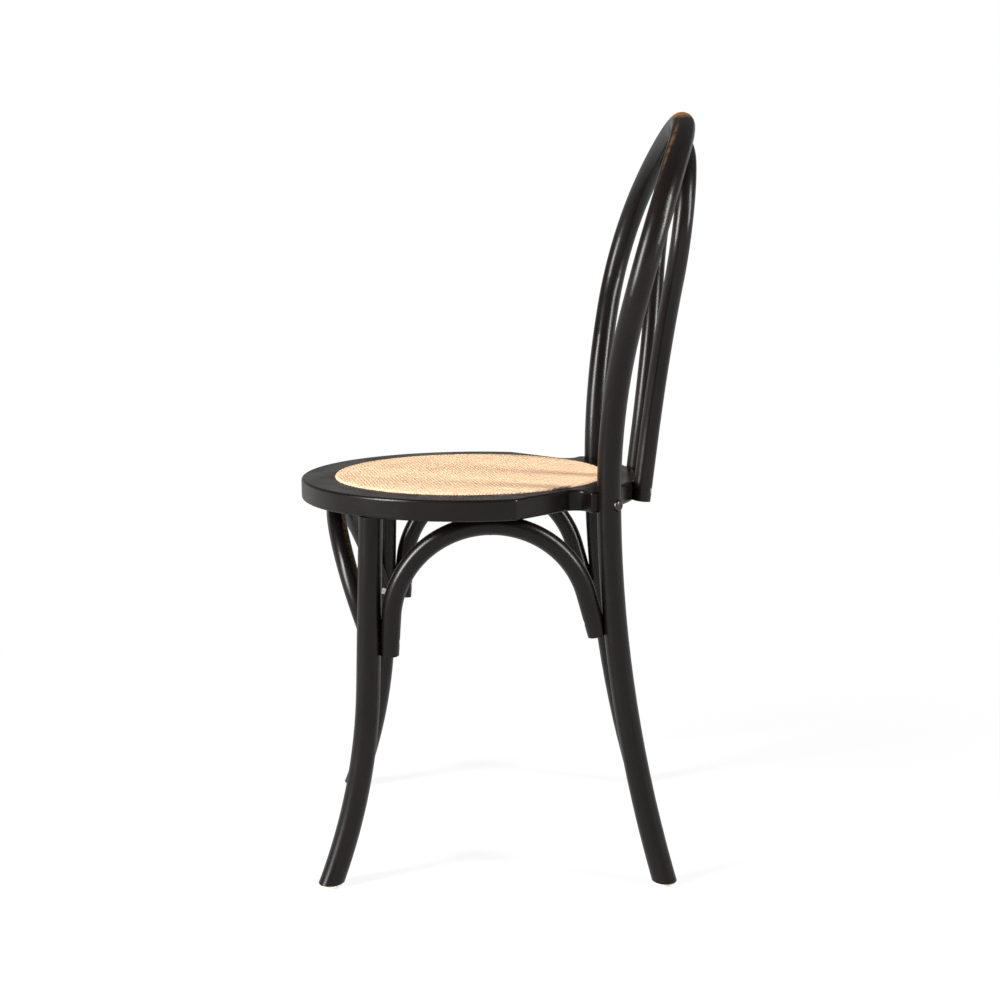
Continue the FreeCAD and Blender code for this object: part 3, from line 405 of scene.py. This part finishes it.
def make_weave():
    """Every strand of the woven face as one closed ribbon."""
    rng = random.Random(WEAVE_SEED)
    points, faces, tones, places = [], [], [], []
    count = int(WEAVE_REACH / STRAND_PITCH)
    for first_way in (True, False):
        angle = WEAVE_ANGLE if first_way else WEAVE_ANGLE + math.pi / 2
        along = Vector((math.cos(angle), math.sin(angle), 0.0))
        across = Vector((-math.sin(angle), math.cos(angle), 0.0)) * (1 if first_way else -1)
        way_tone = 0.0 if first_way else SECOND_WAY_TONE
        for strand in range(-count, count + 1):
            offset = strand * STRAND_PITCH
            reach = math.sqrt(WEAVE_REACH ** 2 - offset ** 2)
            if reach < 2 * STRAND_PITCH:
                continue
            tone = rng.random()
            width = STRAND_WIDTH * rng.uniform(*WIDTH_SPREAD)
            sway = rng.uniform(-1, 1) * SWAY
            steps = max(LEAST_STEPS, int(2 * reach / STRAND_PITCH * STEPS_IN_CROSSING))
            first = len(points)
            for step in range(steps + 1):
                run = -reach + 2 * reach * step / steps
                rise = strand_rise(strand, run / STRAND_PITCH, first_way)
                drift = sway * math.sin(run * SWAY_TURN + strand)
                for side, up in SECTION:
                    flat = along * run + across * (offset + drift + side * width)
                    points.append(wrapped(flat, rise + up * STRAND_THICKNESS))
                    tones.append(tone)
                    places.append((run, side * width, strand * TONE_STEP + way_tone))
            size = len(SECTION)
            for step in range(steps):
                start = first + step * size
                for i in range(size):
                    k = (i + 1) % size
                    faces.append((start + i, start + k, start + size + k, start + size + i))
            faces.append(tuple(first + i for i in reversed(range(size))))
            faces.append(tuple(first + steps * size + i for i in range(size)))
    mesh = bpy.data.meshes.new("cane_weave")
    mesh.from_pydata([tuple(point) for point in points], [], faces)
    tone_layer = mesh.attributes.new("strand_tone", "FLOAT", "POINT")
    tone_layer.data.foreach_set("value", tones)
    place_layer = mesh.attributes.new("strand_place", "FLOAT_VECTOR", "POINT")
    place_layer.data.foreach_set("vector", [number for place in places for number in place])
    mesh.polygons.foreach_set("use_smooth", [True] * len(mesh.polygons))
    mesh.update()
    return finished("cane_weave", mesh, cane)


def finished(name, mesh, material):
    piece = bpy.data.objects.new(name, mesh)
    bpy.context.collection.objects.link(piece)
    mesh.materials.append(material)
    return piece


TURNED_SEGMENTS = 160
GAP_SHADE_SKIN = 0.0003
GAP_SHADE_HUB = 0.001
RIM_STEPS = 8


def make_turned(name, profile, material):
    """Closed disc-shaped piece, turned about the seat's middle."""
    points, faces = [], []
    count = len(profile)
    for i in range(TURNED_SEGMENTS):
        angle = 2 * math.pi * i / TURNED_SEGMENTS
        for radius, height in profile:
            place = Vector((radius * math.cos(angle), radius * math.sin(angle), height))
            points.append(SEAT_MIDDLE + place)
    for i in range(TURNED_SEGMENTS):
        nxt = (i + 1) % TURNED_SEGMENTS
        for k in range(count):
            last = (k + 1) % count
            faces.append((i * count + k, nxt * count + k, nxt * count + last, i * count + last))
    mesh = bpy.data.meshes.new(name)
    mesh.from_pydata([tuple(point) for point in points], [], faces)
    mesh.polygons.foreach_set("use_smooth", [True] * len(mesh.polygons))
    mesh.update()
    return finished(name, mesh, material)


def make_gap_shade_dish():
    """Thin dish of painted shade behind the strands, following the same bend at the rim."""
    top, bottom = [], []
    rise = -HALF_STACK
    for step in range(RIM_STEPS + 1):
        reach = FLAT_RADIUS + (WEAVE_REACH - FLAT_RADIUS) * step / RIM_STEPS
        outer = wrapped(Vector((reach, 0.0, 0.0)), rise) - SEAT_MIDDLE
        inner = wrapped(Vector((reach, 0.0, 0.0)), rise - GAP_SHADE_SKIN) - SEAT_MIDDLE
        top.append((outer.x, outer.z))
        bottom.append((inner.x, inner.z))
    profile = [(GAP_SHADE_HUB, top[0][1])] + top + bottom[::-1] + [(GAP_SHADE_HUB, bottom[0][1])]
    return make_turned("cane_gap_shade", profile, gap_shade_sheet)


weave = make_weave()
# A dark dish of painted shade behind the strands, for the gaps between them
gap_shade_dish = make_gap_shade_dish()
for piece in (weave, gap_shade_dish):
    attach(piece, "root")
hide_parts("cane_mat")


# Floor and light
FLOOR_HALF = 14.0
FLOOR_PALE = colour(0.86, 0.86, 0.86)
WHITE = colour(1, 1, 1)
FLOOR_SHADE_REACH = (0.35, 1.3)
FLOOR_SHOWN_SHARES = (0.86, 1.0)
HORIZON_HEIGHTS = (0.112, 0.20)
SHOWN_OVERHEAD = 0.22
SOFT_LIGHT = 0.15


def seen_ray(tree):
    """1 for rays that show the background: from the camera, off a gloss or through glass."""
    path = add(tree, "LightPath", {})
    seen = maths(tree, "MAXIMUM", path.outputs["Is Camera Ray"], path.outputs["Is Glossy Ray"])
    return maths(tree, "MAXIMUM", seen, path.outputs["Is Transmission Ray"])


def make_floor():
    """Pale floor that is seen almost white, with the chair's shadow, and quite white further off."""
    material, tree = new_tree("floor")
    pale = add(tree, "BsdfDiffuse", {"Color": FLOOR_PALE})
    white = add(tree, "Emission", {"Color": WHITE, "Strength": 1.0})
    away = add(tree, "VectorMath", {0: place_in_object(tree)}, operation="LENGTH").outputs["Value"]
    shown = ramp(tree, away, *FLOOR_SHADE_REACH, *FLOOR_SHOWN_SHARES)
    share = maths(tree, "MULTIPLY", seen_ray(tree), shown)
    mixed = add(tree, "MixShader", {0: share, 1: pale.outputs[0], 2: white.outputs[0]})
    add(tree, "OutputMaterial", {"Surface": mixed.outputs[0]})
    corners = [(-FLOOR_HALF, -FLOOR_HALF, 0), (FLOOR_HALF, -FLOOR_HALF, 0),
               (FLOOR_HALF, FLOOR_HALF, 0), (-FLOOR_HALF, FLOOR_HALF, 0)]
    mesh = bpy.data.meshes.new("floor")
    mesh.from_pydata(corners, [], [(0, 1, 2, 3)])
    finished("floor", mesh, material)


def make_world():
    """White near the horizon and dimmer overhead where it is seen or mirrored; soft white as light."""
    world = bpy.data.worlds.new("studio")
    bpy.context.scene.world = world
    world.use_nodes = True
    tree = world.node_tree
    tree.nodes.clear()
    way = add(tree, "SeparateXYZ", {0: add(tree, "TexCoord", {}).outputs["Generated"]})
    shown = ramp(tree, way.outputs["Z"], *HORIZON_HEIGHTS, 1.0, SHOWN_OVERHEAD)
    seen = seen_ray(tree)
    unseen = maths(tree, "SUBTRACT", 1.0, seen)
    background = maths(tree, "MULTIPLY", seen, shown)
    light = maths(tree, "MULTIPLY", unseen, SOFT_LIGHT)
    strength = maths(tree, "ADD", background, light)
    shade = add(tree, "Background", {"Color": WHITE, "Strength": strength})
    add(tree, "OutputWorld", {"Surface": shade.outputs[0]})


def softbox(name, at, towards, width, height, watts):
    data = bpy.data.lights.new(name, "AREA")
    data.shape = "RECTANGLE"
    data.size = width
    data.size_y = height
    data.energy = watts
    lamp = bpy.data.objects.new(name, data)
    lamp.location = at
    lamp.rotation_euler = (Vector(towards) - Vector(at)).to_track_quat("-Z", "Y").to_euler()
    bpy.context.collection.objects.link(lamp)


make_floor()
make_world()
softbox("front_box", at=(1.25, -2.10, 1.50), towards=(0, 0, 1.05), width=0.70, height=1.70, watts=175.0)
softbox("rear_box", at=(0.95, 2.10, 1.65), towards=(0, 0.1, 1.05), width=0.42, height=1.60, watts=92.0)

bpy.context.scene.view_settings.view_transform = "Standard"
